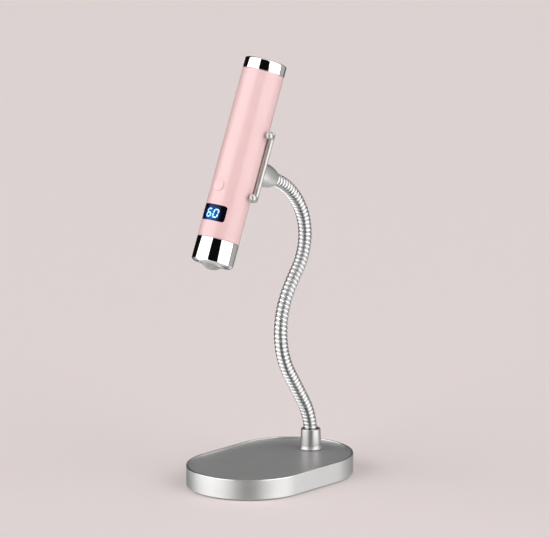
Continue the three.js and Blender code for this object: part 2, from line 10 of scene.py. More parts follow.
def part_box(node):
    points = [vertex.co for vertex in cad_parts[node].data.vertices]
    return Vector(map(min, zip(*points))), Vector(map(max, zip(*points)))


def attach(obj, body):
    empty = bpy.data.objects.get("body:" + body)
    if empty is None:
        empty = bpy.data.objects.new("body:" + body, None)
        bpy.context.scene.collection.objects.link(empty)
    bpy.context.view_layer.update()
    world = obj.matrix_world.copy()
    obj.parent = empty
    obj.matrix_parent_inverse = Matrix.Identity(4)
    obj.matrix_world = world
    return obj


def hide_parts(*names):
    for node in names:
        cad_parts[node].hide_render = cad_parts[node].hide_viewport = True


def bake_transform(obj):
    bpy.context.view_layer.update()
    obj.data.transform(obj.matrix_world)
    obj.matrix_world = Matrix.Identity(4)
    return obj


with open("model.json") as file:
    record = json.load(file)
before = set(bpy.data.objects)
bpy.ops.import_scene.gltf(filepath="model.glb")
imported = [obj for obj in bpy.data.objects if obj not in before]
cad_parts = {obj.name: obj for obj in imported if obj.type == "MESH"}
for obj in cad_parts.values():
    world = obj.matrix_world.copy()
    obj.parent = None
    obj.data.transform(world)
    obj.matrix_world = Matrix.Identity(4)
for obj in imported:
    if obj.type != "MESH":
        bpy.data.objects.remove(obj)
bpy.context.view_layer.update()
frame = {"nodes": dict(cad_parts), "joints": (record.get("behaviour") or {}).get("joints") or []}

MM = 0.001
ON_AXIS = 0.01                       # a turned profile starts or ends this hair off its axis

# ---------- driving sizes, in millimetres ----------
BASE_LENGTH = 126.6
BASE_WIDTH = 83.7
BASE_TOP = 14.1
SKIRT_BOTTOM = 0.5
BASE_WALL = 2.2
RIM_WIDTH = 1.3
EDGE_ROUND = 0.45
WEB_BOTTOM = 9.6
WEB_TOP = 11.6
PLATE_TOP = 12.6
PLATE_GAP = 0.3                      # round and under the top plate
LEDGE = 3                            # how far the plate and the ledge under it are drawn in
PAD_TOP = 1.1
SOCKET_FOOT = 8
SOCKET_Y = 41.65
SOCKET_TOP = 26.8
SOCKET_BORE = 5.2
SPIGOT_RADIUS = 3.9
SPIGOT_BOTTOM = 4.8
STUB_IN_SOCKET = 9
STUB_IN_HUB = 6
NECK_RADIUS = 4.65
NECK_ARCS = [                        # (length, turn in degrees) of each run, from the socket to the hub
    (4, 0), (5, 6.5), (21, 26), (26.5, 1.5), (61.5, -66), (15, -6), (43, 65), (35.5, 40),
    (3.8 + STUB_IN_HUB, 0),
]
LINK_COUNT = 10
TORCH_RADIUS = 14
COLLAR_LENGTH = 16.3
BODY_END = 131.4
TORCH_END = 138.9
DISPLAY_CENTRE = 32.7
DISPLAY_HEIGHT = 10.9
DISPLAY_HALF_WIDTH = 9.6
BUTTON_CENTRE = 51
BUTTON_RADIUS = 3.9
BUTTON_FLANGE = 4.9
BUTTON_BOTTOM, BUTTON_STEP, BUTTON_TOP = 10.3, 10.9, 14.2   # from the torch's axis
HUB_HEIGHT = 68
HUB_REACH = 36.8
HUB_BORE = 5.0
HUB_RADIUS = 8.5
HUB_LIP_RADIUS = 5.5
HUB_DOME_START = 20
CLIP_BOTTOM = 46.4
CLIP_TOP = 95
CLAW_HEIGHTS = (48.8, 91.2)
CLIP_INNER = 14.3
CLIP_OUTER = 18.3
TROUGH_CLEARANCE = 0.15              # keeps the cast trough off the torch
TROUGH_HALF_ANGLE = 49
BEAD_ANGLE = 51
BEAD_RADIUS = 2.15
CLAW_RADIUS = 1.85
CLAW_START, CLAW_STEP, CLAW_STEPS = 44, 3, 12
BALL_ANGLE = 80
BALL_RADIUS = 2.75
VOXEL = 0.34
INSERT_RADIUS = 11.9
INSERT_BORE = 9.6
GLASS_RADIUS = 9.2                   # of the lens's flange, and the curve of its dome
LENS_RIM = 6.9
LENS_SEAT = 2.3
LENS_BACK = 4.0
LENS_SWEEP = 41.4                    # where the dome's arc ends, below level
BOWL_RADIUS = 8.2
BOWL_START = 5.6
BOWL_DEPTH = 6.2
COLLAR_MOUTH = 8.1
REFLECTOR_TOP = 12.6
BODY_BORE = 12.2
WINDOW_BORE = 12.7
WINDOW_GAP = 0.12
WINDOW_RECESS = 0.04
DISPLAY_CORNER = 1.6
WINDOW_CORNER = 1.5
SLOT_RADIUS = 1.95
SLOT_HALF_LENGTH = 2.85              # from the slot's middle to the centre of each round end
CAP_BORE = 10.8
CAP_FLOOR = 1.7
CAP_INSERT_END = 124.4

# ---------- the torch's own frame: origin at the lens-end rim, +Z to the tail, -Y to the display ----------
release = next(joint for joint in frame["joints"] if joint["name"] == "torch_release")
front = Vector(release["axis"]).normalized()
TILT = math.atan2(front.z, -front.y)
axis_up = Vector((0, math.sin(TILT), math.cos(TILT)))
GASKET_HEIGHT = 4.8
gasket_low, gasket_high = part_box("lens_gasket")
rim_centre = (gasket_low + gasket_high) / 2 - axis_up * GASKET_HEIGHT * MM
TORCH = Matrix.Translation(rim_centre) @ Matrix.Rotation(-TILT, 4, "X")
BEHIND = Matrix.Translation((0, 0, HUB_HEIGHT * MM)) @ Matrix.Rotation(-math.pi / 2, 4, "X")


# ---------- shape helpers ----------
def arc(centre, radius, start, end, steps):
    """Points on an arc; angles in degrees."""
    points = []
    for step in range(steps + 1):
        angle = math.radians(start + (end - start) * step / steps)
        points.append((centre[0] + radius * math.cos(angle), centre[1] + radius * math.sin(angle)))
    return points


def rounded(points, steps=4):
    """An open outline of (x, y) or (x, y, radius) points, with the corners that give a radius rounded."""
    outline = []
    for index, point in enumerate(points):
        radius = point[2] if len(point) > 2 else 0
        if not radius or index in (0, len(points) - 1):
            outline.append(tuple(point[:2]))
            continue
        here = Vector(point[:2])
        before = (Vector(points[index - 1][:2]) - here).normalized()
        after = (Vector(points[index + 1][:2]) - here).normalized()
        half = before.angle(after) / 2
        reach = radius / math.tan(half)
        centre = here + (before + after).normalized() * radius / math.sin(half)
        start, end = here + before * reach - centre, here + after * reach - centre
        sweep = start.angle_signed(end)
        for step in range(steps + 1):
            turned = start.copy()
            turned.rotate(Matrix.Rotation(-sweep * step / steps, 2))
            outline.append(tuple(centre + turned))
    return outline


def new_object(name, mesh, matrix=Matrix.Identity(4)):
    piece = bpy.data.objects.new(name, mesh)
    piece.matrix_world = matrix
    bpy.context.scene.collection.objects.link(piece)
    return piece


def build(name, points, faces, matrix=Matrix.Identity(4), crease=32):
    """A piece from points in millimetres and faces, smooth except across edges sharper than the crease."""
    mesh = bpy.data.meshes.new(name)
    mesh.from_pydata([[value * MM for value in point] for point in points], [], faces)
    tidy = bmesh.new()
    tidy.from_mesh(mesh)
    bmesh.ops.remove_doubles(tidy, verts=tidy.verts, dist=1e-7)
    bmesh.ops.recalc_face_normals(tidy, faces=tidy.faces)
    limit = math.radians(crease)
    for face in tidy.faces:
        face.smooth = True
    for edge in tidy.edges:
        edge.smooth = len(edge.link_faces) == 2 and edge.calc_face_angle(0) < limit
    tidy.to_mesh(mesh)
    tidy.free()
    return new_object(name, mesh, matrix)


def loft(name, rings, matrix=Matrix.Identity(4), closed=False, caps=True, crease=32):
    """Joins rings of equal length; caps fill the first and last ring, closed joins them instead."""
    count = len(rings[0])
    points = [point for ring in rings for point in ring]
    faces = []
    last = len(rings) if closed else len(rings) - 1
    for row in range(last):
        below, above = row * count, (row + 1) % len(rings) * count
        for side in range(count):
            after = (side + 1) % count
            faces.append((below + side, below + after, above + after, above + side))
    if caps and not closed:
        faces.append(tuple(range(count)))
        faces.append(tuple(range(last * count, (last + 1) * count)))
    return build(name, points, faces, matrix, crease)


def turned(name, profile, sides=96, matrix=Matrix.Identity(4), closed=False, crease=32):
    """A turned piece about Z from (radius, height) points."""
    rings = []
    for radius, height in profile:
        ring = []
        for side in range(sides):
            angle = 2 * math.pi * side / sides
            ring.append((radius * math.cos(angle), radius * math.sin(angle), height))
        rings.append(ring)
    return loft(name, rings, matrix, closed, caps=not closed, crease=crease)


def oval_ring(inset, height, steps=40):
    """The base's oval, drawn in by an inset, at a height."""
    radius = BASE_WIDTH / 2 - inset
    reach = (BASE_LENGTH - BASE_WIDTH) / 2
    far = arc((0, reach), radius, 0, 180, steps)
    near = arc((0, -reach), radius, 180, 360, steps)
    return [(x, y, height) for x, y in far + near]


def oval_piece(name, profile):
    """An oval piece from (inset, height) points, capped across its middle."""
    return loft(name, [oval_ring(inset, height) for inset, height in profile])


def finish_piece(piece, body, slot, material, *nodes):
    piece.data.materials.clear()
    piece.data.materials.append(material)
    if body:
        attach(piece, body)
    if nodes:
        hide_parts(*nodes)
    return piece


# ---------- materials ----------
class Paint:
    """A node material on one Principled shader, with textures in the piece's own space."""

    def __init__(self, name, color, roughness, metallic=0.0):
        self.material = bpy.data.materials.new(name)
        self.material.use_nodes = True
        self.nodes = self.material.node_tree.nodes
        self.links = self.material.node_tree.links
        self.shader = self.nodes["Principled BSDF"]
        self.color, self.roughness = color, roughness
        self.set("Base Color", (*color, 1))
        self.set("Roughness", roughness)
        self.set("Metallic", metallic)
        self.place = self.nodes.new("ShaderNodeTexCoord").outputs["Object"]

    def set(self, socket, value):
        self.shader.inputs[socket].default_value = value

    def noise(self, size, stretch=(1, 1, 1), detail=3.0):
        """Noise whose features are about `size` millimetres, finer by `stretch` along each axis."""
        mapping = self.nodes.new("ShaderNodeMapping")
        mapping.inputs["Scale"].default_value = [1 / (size * MM) * value for value in stretch]
        self.links.new(self.place, mapping.inputs["Vector"])
        noise = self.nodes.new("ShaderNodeTexNoise")
        noise.inputs["Scale"].default_value = 1.0
        noise.inputs["Detail"].default_value = detail
        self.links.new(mapping.outputs["Vector"], noise.inputs["Vector"])
        return noise.outputs["Fac"]

    def ramp(self, value, low, high, bottom, top):
        node = self.nodes.new("ShaderNodeMapRange")
        for socket, number in zip(("From Min", "From Max", "To Min", "To Max"), (low, high, bottom, top)):
            node.inputs[socket].default_value = number
        self.links.new(value, node.inputs["Value"])
        return node.outputs["Result"]

    def vary_color(self, value, other, share=1.0):
        mix = self.nodes.new("ShaderNodeMix")
        mix.data_type = "RGBA"
        mix.inputs[6].default_value = (*self.color, 1)
        mix.inputs[7].default_value = (*other, 1)
        self.links.new(self.ramp(value, 0.3, 0.7, 0, share), mix.inputs["Factor"])
        self.links.new(mix.outputs[2], self.shader.inputs["Base Color"])
        return self

    def vary_roughness(self, value, spread):
        low, high = max(self.roughness - spread, 0.01), self.roughness + spread
        self.links.new(self.ramp(value, 0.3, 0.7, low, high), self.shader.inputs["Roughness"])
        return self

    def bump(self, value, depth, strength=1.0):
        """Bump of the given depth in millimetres."""
        node = self.nodes.new("ShaderNodeBump")
        node.inputs["Strength"].default_value = strength
        node.inputs["Distance"].default_value = depth * MM
        self.links.new(value, node.inputs["Height"])
        self.links.new(node.outputs["Normal"], self.shader.inputs["Normal"])
        return self


def satin_silver():
    paint = Paint("satin_silver", (0.62, 0.622, 0.62), 0.53, 0.92)
    paint.vary_color(paint.noise(9), (0.59, 0.592, 0.59), 0.7)
    paint.vary_roughness(paint.noise(0.5), 0.04)
    return paint.bump(paint.noise(0.22), 0.004, 0.5).material


def rim_highlight_silver():
    """The base's silver made lighter and glossier for its top edge: a painted highlight along the rim."""
    paint = Paint("rim_highlight_silver", (0.88, 0.88, 0.878), 0.26, 1.0)
    paint.vary_color(paint.noise(6), (0.83, 0.83, 0.828), 0.7)
    paint.vary_roughness(paint.noise(0.5), 0.04)
    return paint.bump(paint.noise(0.3), 0.003, 0.4).material


def spun_silver():
    paint = Paint("spun_silver", (0.60, 0.60, 0.597), 0.42, 1.0)
    paint.vary_color(paint.noise(3, (1, 1, 4)), (0.55, 0.55, 0.547), 0.7)
    paint.vary_roughness(paint.noise(0.4, (1, 1, 6)), 0.05)
    return paint.bump(paint.noise(0.3, (1, 1, 5)), 0.003, 0.5).material


# The top plate's grey is the base's silver made darker and less metallic: painted shade of the flat top
# face.
def top_shade_grey():
    paint = Paint("top_shade_grey", (0.40, 0.40, 0.40), 0.38, 0.4)
    paint.vary_color(paint.noise(14), (0.365, 0.365, 0.365), 0.8)
    paint.vary_roughness(paint.noise(0.6), 0.05)
    return paint.bump(paint.noise(0.3), 0.005, 0.5).material


def polished_chrome(name, roughness=0.05, shade=0.93):
    paint = Paint(name, (shade, shade, shade + 0.005), roughness, 1.0)
    paint.vary_color(paint.noise(6), (shade - 0.03, shade - 0.03, shade - 0.025), 0.6)
    paint.vary_roughness(paint.noise(0.4, (1, 1, 0.1)), roughness * 0.5)
    return paint.bump(paint.noise(1.2), 0.0006, 0.3).material


def satin_nickel():
    paint = Paint("satin_nickel", (0.62, 0.625, 0.605), 0.38, 0.8)
    paint.vary_color(paint.noise(5), (0.57, 0.575, 0.555), 0.7)
    paint.vary_roughness(paint.noise(0.5), 0.05)
    return paint.bump(paint.noise(0.25), 0.004, 0.5).material


def pink_lacquer():
    paint = Paint("pink_lacquer", (0.915, 0.635, 0.635), 0.34)
    paint.set("Coat Weight", 0.65)
    paint.set("Coat Roughness", 0.2)
    paint.set("Sheen Weight", 0.3)
    paint.set("Sheen Roughness", 0.35)
    paint.set("Sheen Tint", (1, 0.9, 0.89, 1))
    paint.vary_color(paint.noise(16), (0.90, 0.61, 0.615), 0.8)
    paint.vary_roughness(paint.noise(0.7), 0.04)
    return paint.bump(paint.noise(0.35), 0.005, 0.4).material


def soft_rubber():
    paint = Paint("soft_rubber", (0.03, 0.03, 0.032), 0.8)
    paint.vary_color(paint.noise(4), (0.05, 0.05, 0.052))
    paint.vary_roughness(paint.noise(0.8), 0.08)
    return paint.bump(paint.noise(0.4), 0.03).material


def plain_metal(name, color, roughness, grain=(1, 1, 1)):
    paint = Paint(name, color, roughness, 1.0)
    paint.vary_color(paint.noise(3), tuple(value * 0.85 for value in color), 0.8)
    paint.vary_roughness(paint.noise(0.4, grain), 0.08)
    return paint.bump(paint.noise(0.2, grain), 0.006).material


def moulded(name, color, roughness, grain=0.3):
    paint = Paint(name, color, roughness)
    paint.vary_color(paint.noise(5), tuple(value * 0.88 for value in color), 0.7)
    paint.vary_roughness(paint.noise(0.6), 0.06)
    return paint.bump(paint.noise(grain), 0.01, 0.6).material


def clear_glass():
    paint = Paint("clear_glass", (0.93, 0.97, 0.94), 0.04)
    paint.set("Transmission Weight", 0.6)
    paint.set("IOR", 1.49)
    paint.vary_roughness(paint.noise(2), 0.02)
    return paint.bump(paint.noise(3), 0.0005, 0.3).material


def lit_window():
    """Black gloss window, lit blue from behind round the digits."""
    paint = Paint("lit_window", (0.003, 0.003, 0.008), 0.06)
    paint.set("Specular IOR Level", 0.15)
    paint.vary_roughness(paint.noise(1.5), 0.03)
    nodes, links = paint.nodes, paint.links
    distance = nodes.new("ShaderNodeVectorMath")
    distance.operation = "DISTANCE"
    distance.inputs[1].default_value = (0.2 * MM, -TORCH_RADIUS * MM, (DISPLAY_CENTRE - 1.4) * MM)
    links.new(paint.place, distance.inputs[0])
    halo = paint.ramp(distance.outputs["Value"], 8 * MM, 0.5 * MM, 0, 1)
    soft = nodes.new("ShaderNodeMath")
    soft.operation = "POWER"
    soft.inputs[1].default_value = 1.8
    links.new(halo, soft.inputs[0])
    links.new(paint.ramp(soft.outputs["Value"], 0, 1, 0, 0.9), paint.shader.inputs["Emission Strength"])
    paint.set("Emission Color", (0.018, 0.2, 0.95, 1))
    return paint.material


def glowing_digits():
    paint = Paint("glowing_digits", (0.3, 0.6, 1.0), 0.3)
    paint.vary_color(paint.noise(1.5), (0.2, 0.5, 1.0))
    paint.set("Emission Color", (0.3, 0.72, 1.0, 1))
    glow = paint.ramp(paint.noise(1.0), 0.3, 0.7, 1.1, 1.6)
    paint.links.new(glow, paint.shader.inputs["Emission Strength"])
    return paint.material


SILVER = satin_silver()
PAINTED_RIM_HIGHLIGHT = rim_highlight_silver()
SPUN = spun_silver()
PAINTED_TOP_SHADE = top_shade_grey()
CHROME = polished_chrome("polished_chrome")
COIL_CHROME = polished_chrome("coil_chrome", 0.3, 0.78)
NICKEL = satin_nickel()
PINK = pink_lacquer()
RUBBER = soft_rubber()
# The wedge wire is real steel, made darker than the coil's chrome as painted shade in the grooves between
# turns.
WEDGE_GROOVE_SHADE = plain_metal("wedge_steel_groove_shade", (0.48, 0.48, 0.485), 0.3)
STEEL = plain_metal("ground_steel", (0.42, 0.43, 0.45), 0.42, (1, 8, 1))
ZINC = plain_metal("zinc_plate", (0.62, 0.63, 0.65), 0.35)
GOLD = plain_metal("gold_plate", (0.83, 0.62, 0.27), 0.3)
SINK = plain_metal("machined_aluminium", (0.78, 0.79, 0.80), 0.28, (1, 1, 12))
WHITE = moulded("white_moulding", (0.82, 0.82, 0.80), 0.45)
BOARD = moulded("solder_mask", (0.02, 0.17, 0.06), 0.4, 0.15)
WRAP = moulded("shrink_film", (0.04, 0.13, 0.42), 0.3, 0.8)
GLASS = clear_glass()
WINDOW = lit_window()
DIGITS = glowing_digits()


# ---------- base ----------
def base_pieces():
    shell = oval_piece("base_housing", rounded([
        (BASE_WALL, WEB_BOTTOM), (BASE_WALL, SKIRT_BOTTOM, 0.3), (0, SKIRT_BOTTOM, 0.5),
        (0, BASE_TOP, EDGE_ROUND), (RIM_WIDTH, BASE_TOP, EDGE_ROUND),
        (RIM_WIDTH, WEB_TOP, 0.3), (RIM_WIDTH + LEDGE, WEB_TOP),
    ]))
    finish_piece(shell, "base", "base_silver", SILVER, "base_shell")
    # Faces on the base's top edge take the lighter, glossier silver: a painted highlight along the rim.
    shell.data.materials.append(PAINTED_RIM_HIGHLIGHT)
    for polygon in shell.data.polygons:
        if polygon.center.z > (BASE_TOP - EDGE_ROUND) * MM:
            polygon.material_index = 1
    # The top plate takes the darker grey, painted shade of the base's flat top.
    top = oval_piece("base_table", rounded([
        (RIM_WIDTH + LEDGE, WEB_TOP + PLATE_GAP), (RIM_WIDTH + PLATE_GAP, WEB_TOP + PLATE_GAP, 0.1),
        (RIM_WIDTH + PLATE_GAP, PLATE_TOP, 0.2), (RIM_WIDTH + LEDGE, PLATE_TOP),
    ]))
    finish_piece(top, "base", "plate_grey", PAINTED_TOP_SHADE, "base_top_plate")
    pad = oval_piece("rubber_foot", rounded([
        (6, PAD_TOP), (BASE_WALL + 1, PAD_TOP, 0.2), (BASE_WALL + 1, 0, 0.4), (6, 0, 0.3), (6.8, 0.5, 0.2),
        (8.2, 0.5, 0.2), (9, 0, 0.3), (12, 0),
    ]))
    finish_piece(pad, "base", "pad_rubber", RUBBER, "anti_slip_pad")
    foot = PLATE_TOP + PLATE_GAP
    socket = turned("neck_ferrule", rounded([
        (ON_AXIS, SPIGOT_BOTTOM), (SPIGOT_RADIUS, SPIGOT_BOTTOM, 0.4), (SPIGOT_RADIUS, foot),
        (SOCKET_FOOT, foot, 0.1), (SOCKET_FOOT, foot + 0.35, 0.25), (6.95, foot + 1.9, 2.2),
        (6.55, SOCKET_TOP, 0.8), (SOCKET_BORE, SOCKET_TOP, 0.3),
        (SOCKET_BORE, SOCKET_TOP - STUB_IN_SOCKET), (ON_AXIS, SOCKET_TOP - STUB_IN_SOCKET),
    ], 6), 80, Matrix.Translation((0, SOCKET_Y * MM, 0)))
    finish_piece(socket, "base", "base_silver", SPUN, "neck_socket")


# ---------- gooseneck ----------
def neck_at(length):
    """Place and heading, from +Y towards +Z, at a length along the neck's centre line."""
    y, z, heading, left = SOCKET_Y, SOCKET_TOP - STUB_IN_SOCKET, 90.0, length
    for run_length, turn in NECK_ARCS:
        run = min(run_length, left)
        bend = turn * run / run_length
        half = math.radians(bend / 2)
        chord = run * (math.sin(half) / half if half else 1)
        y += chord * math.cos(math.radians(heading) + half)
        z += chord * math.sin(math.radians(heading) + half)
        heading += bend
        left -= run
    return y, z, math.radians(heading)


NECK_LENGTH = sum(length for length, turn in NECK_ARCS)
FREE_LENGTH = NECK_LENGTH - STUB_IN_SOCKET - STUB_IN_HUB
LINK_LENGTH = FREE_LENGTH / LINK_COUNT
COIL_PITCH = 2.9
COIL_STEPS = 32                      # cross-sections in each turn
WIRE_RADIUS = 0.98
WEDGE_DEPTH = 0.42                   # how far the wedge wire lies below the round wire's crest
SEAM_MARGIN = 1.6                    # length kept in from a piece's ends where two points on the neck's centre line are found


def round_wire():
    """The round wire's section: (length along the neck, distance from its centre line) points."""
    return arc((WIRE_RADIUS, NECK_RADIUS - WIRE_RADIUS), WIRE_RADIUS, 0, 360 - 360 / 14, 13)


def wedge_wire():
    """The wedge wire's section, filling the gap between two turns of the round wire."""
    left, right = 2 * WIRE_RADIUS - 0.22, COIL_PITCH + 0.22
    crest = NECK_RADIUS - WEDGE_DEPTH
    middle = (left + right) / 2
    return [(left, crest - 0.6), (left + 0.3, crest - 0.12), (middle, crest), (right - 0.3, crest - 0.12),
            (right, crest - 0.6), (middle, crest - 1.2)]


def on_neck(radius, angle, length):
    y, z, heading = neck_at(min(max(length, 0), NECK_LENGTH))
    side = radius * math.cos(angle)
    return (radius * math.sin(angle), y + side * math.sin(heading), z - side * math.cos(heading))


def neck_coil(name, section, start, end):
    """A coil of wire from one length to another along the neck, in whole steps of one long helix."""
    first = round(start / COIL_PITCH * COIL_STEPS)
    last = round(end / COIL_PITCH * COIL_STEPS)
    rings = []
    for step in range(first, last + 1):
        angle = 2 * math.pi * step / COIL_STEPS
        base = step / COIL_STEPS * COIL_PITCH
        rings.append([on_neck(radius, angle, base + along) for along, radius in section])
    return loft(name, rings, crease=50)


def neck_pieces():
    middle = [STUB_IN_SOCKET + LINK_LENGTH * (index + 0.5) for index in range(LINK_COUNT)]
    for index in range(LINK_COUNT - 1):
        last_piece = index == LINK_COUNT - 2
        start = 1.5 if index == 0 else middle[index]
        end = NECK_LENGTH - COIL_PITCH - 0.5 if last_piece else middle[index + 1]
        coil = neck_coil(f"neck_coil_{index + 1:02d}", round_wire(), start, end)
        wedge = neck_coil(f"neck_wedge_{index + 1:02d}", wedge_wire(), start, end)
        nodes = [f"neck_link_{index + 1:02d}"]
        if last_piece:
            nodes.append(f"neck_link_{LINK_COUNT:02d}")
        finish_piece(coil, None, "neck_chrome", COIL_CHROME, *nodes)
        # The wedge wire takes the darker steel: painted shade in the grooves.
        finish_piece(wedge, None, "neck_chrome", WEDGE_GROOVE_SHADE)
        y0, z0, _ = neck_at(middle[index] + COIL_PITCH + SEAM_MARGIN)
        y1, z1, _ = neck_at(middle[index + 1] - SEAM_MARGIN)
        start_point, end_point = (0, y0 * MM, z0 * MM), (0, y1 * MM, z1 * MM)
        for piece in (coil, wedge):
            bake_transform(piece)
            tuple(start_point)
            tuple(end_point)


# ---------- hub and clip ----------
def hub_piece():
    """A dome whose side swells from the mouth to the clip."""
    mouth = HUB_REACH - 0.2
    steps = 22
    dome = []
    for step in range(steps + 1):
        share = step / steps
        swell = (1 - share ** 1.8) ** 0.75
        radius = HUB_LIP_RADIUS + (HUB_RADIUS - HUB_LIP_RADIUS) * swell
        dome.append((radius, HUB_DOME_START + (mouth - HUB_DOME_START) * share))
    profile = [(ON_AXIS, CLIP_OUTER - 1), (HUB_RADIUS, CLIP_OUTER - 1)] + dome + rounded([
        (HUB_LIP_RADIUS, mouth), (HUB_LIP_RADIUS, HUB_REACH, 0.2), (HUB_BORE, HUB_REACH, 0.15),
        (HUB_BORE, HUB_REACH - STUB_IN_HUB),
    ])
    hub = turned("hub_dome", profile + [(ON_AXIS, HUB_REACH - STUB_IN_HUB)], 80, TORCH @ BEHIND)
    finish_piece(hub, "holder", "clip_nickel", NICKEL, "neck_hub")


def tube_along(points, radius, sides=14):
    """Rings round a path, each square to it."""
    rings = []
    for index, point in enumerate(points):
        before = points[max(index - 1, 0)]
        after = points[min(index + 1, len(points) - 1)]
        along = (Vector(after) - Vector(before)).normalized()
        up = Vector((0, 0, 1)) if abs(along.z) < 0.9 else Vector((1, 0, 0))
        across = along.cross(up).normalized()
        normal = across.cross(along)
        ring = []
        for side in range(sides):
            angle = 2 * math.pi * side / sides
            offset = (across * math.cos(angle) + normal * math.sin(angle)) * radius
            ring.append(tuple(Vector(point) + offset))
        rings.append(ring)
    return rings


def clip_point(angle, radius, height):
    turn = math.radians(angle)
    return (radius * math.sin(turn), radius * math.cos(turn), height)


def trough_rings(half_angle, steps=40):
    """The trough's wall in slices round the torch, each a rounded rectangle in height and radius."""
    corner = 1.2
    low, high = CLIP_BOTTOM + 0.4, CLIP_TOP - 0.4
    inner, outer = CLIP_INNER + TROUGH_CLEARANCE, CLIP_OUTER - 0.2
    outline = []
    for x, y, start in ((high, outer, 0), (low, outer, 90), (low, inner, 180), (high, inner, 270)):
        centre = (x - corner if x == high else x + corner, y - corner if y == outer else y + corner)
        outline += arc(centre, corner, start, start + 90, 4)
    rings = []
    for step in range(steps + 1):
        angle = half_angle * (2 * step / steps - 1)
        rings.append([clip_point(angle, radius, height) for height, radius in outline])
    return rings


def clip_piece():
    middle = (CLIP_INNER + CLIP_OUTER) / 2
    parts = [loft("clip_trough", trough_rings(TROUGH_HALF_ANGLE))]
    for side in (-1, 1):
        span = CLIP_TOP - CLIP_BOTTOM - 1.2
        heights = [CLIP_BOTTOM + 0.6 + span * step / 20 for step in range(21)]
        bead = [clip_point(side * BEAD_ANGLE, middle - 0.05, height) for height in heights]
        parts.append(loft("clip_bead", tube_along(bead, BEAD_RADIUS)))
        for height in CLAW_HEIGHTS:
            angles = [CLAW_START + CLAW_STEP * step for step in range(CLAW_STEPS + 1)]
            claw = [clip_point(side * angle, middle + 0.15, height) for angle in angles]
            parts.append(loft("clip_claw", tube_along(claw, CLAW_RADIUS)))
            tip = clip_point(side * BALL_ANGLE, CLIP_INNER + 2.6, height)
            ball = arc((0, 0), BALL_RADIUS, -90, 90, 12)
            place = Matrix.Translation(Vector(tip) * MM)
            parts.append(turned("clip_ball", [(max(r, ON_AXIS), z) for r, z in ball], 24, place))
    clip = parts[0]
    chosen = {"active_object": clip, "selected_editable_objects": parts, "selected_objects": parts}
    with bpy.context.temp_override(**chosen):
        bpy.ops.object.join()
    clip.name = "torch_cradle"
    remesh = clip.modifiers.new("fuse", "REMESH")
    remesh.mode = "VOXEL"
    remesh.voxel_size = VOXEL * MM
    smooth = clip.modifiers.new("blend", "SMOOTH")
    smooth.factor = 0.5
    smooth.iterations = 9
    graph = bpy.context.evaluated_depsgraph_get()
    clip.data = bpy.data.meshes.new_from_object(clip.evaluated_get(graph))
    clip.modifiers.clear()
    for polygon in clip.data.polygons:
        polygon.use_smooth = True
    clip.matrix_world = TORCH
    finish_piece(clip, "holder", "clip_nickel", NICKEL, "torch_clip")


# ---------- torch ----------
def collar_piece():
    end = COLLAR_LENGTH + 6.7
    collar = turned("lens_collar", rounded([
        (COLLAR_MOUTH, 2.0), (COLLAR_MOUTH, 1.2, 0.2), (9.3, 0, 0.3), (12.6, 0, 0.4),
        (TORCH_RADIUS, 1.4, 0.5), (TORCH_RADIUS, COLLAR_LENGTH, 0.15),
        (INSERT_RADIUS, COLLAR_LENGTH), (INSERT_RADIUS, end, 0.3),
        (INSERT_BORE, end), (INSERT_BORE, 2.0),
    ]), 128, TORCH, closed=True)
    finish_piece(collar, "torch", "torch_chrome", CHROME, "front_collar")


def lens_piece():
    dome = arc((0, 5.8), GLASS_RADIUS, -90, -LENS_SWEEP, 16)
    lens = turned("convex_lens", [(max(radius, ON_AXIS), height) for radius, height in dome] + rounded([
        (LENS_RIM, 0), (LENS_RIM, LENS_SEAT), (GLASS_RADIUS, LENS_SEAT, 0.2),
        (GLASS_RADIUS, LENS_BACK, 0.2), (ON_AXIS, LENS_BACK),
    ]), 96, TORCH)
    finish_piece(lens, "torch", "lens_glass", GLASS, "lens")


def reflector_piece():
    steps = 14
    bowl = []
    for step in range(steps + 1):
        share = step / steps
        bowl.append((BOWL_RADIUS - 5.2 * share ** 0.55, BOWL_START + BOWL_DEPTH * share))
    back = rounded([
        (3.0, REFLECTOR_TOP), (9.3, REFLECTOR_TOP, 0.3), (9.3, BOWL_START, 0.2), (BOWL_RADIUS, BOWL_START),
    ])
    reflector = turned("reflector_bowl", bowl + back, 64, TORCH, closed=True)
    mirror = polished_chrome("reflector_mirror", 0.08)
    finish_piece(reflector, "torch", "reflector_white", mirror, "reflector")


def display_block(name, inset, radius):
    """A block with round corners through the torch's front, as big as the display less an inset."""
    half_width, half_height = DISPLAY_HALF_WIDTH - inset, DISPLAY_HEIGHT / 2 - inset
    outline = []
    for x, z, start in ((1, 1, 0), (-1, 1, 90), (-1, -1, 180), (1, -1, 270)):
        corner = (x * (half_width - radius), z * (half_height - radius))
        outline += arc(corner, radius, start, start + 90, 8)
    return loft(name, [[(x, depth, DISPLAY_CENTRE + z) for x, z in outline] for depth in (-20, -6)])


def boolean(piece, tool, operation):
    modifier = piece.modifiers.new("cut", "BOOLEAN")
    modifier.operation = operation
    modifier.object = tool
    modifier.solver = "EXACT"
    graph = bpy.context.evaluated_depsgraph_get()
    mesh = bpy.data.meshes.new_from_object(piece.evaluated_get(graph))
    piece.modifiers.clear()
    piece.data = mesh
    bpy.data.objects.remove(tool)


def tube(name, inner, outer, low, high, bevel, sides=128):
    return turned(name, rounded([
        (inner, (low + high) / 2), (inner, low), (outer, low, bevel), (outer, high, bevel), (inner, high),
    ]), sides, closed=True)


def mark_smooth(piece, crease=32):
    """Smooth shading with creases, after a cut has changed the mesh."""
    work = bmesh.new()
    work.from_mesh(piece.data)
    for face in work.faces:
        face.smooth = True
    for edge in work.edges:
        edge.smooth = len(edge.link_faces) == 2 and edge.calc_face_angle(0) < math.radians(crease)
    work.to_mesh(piece.data)
    work.free()


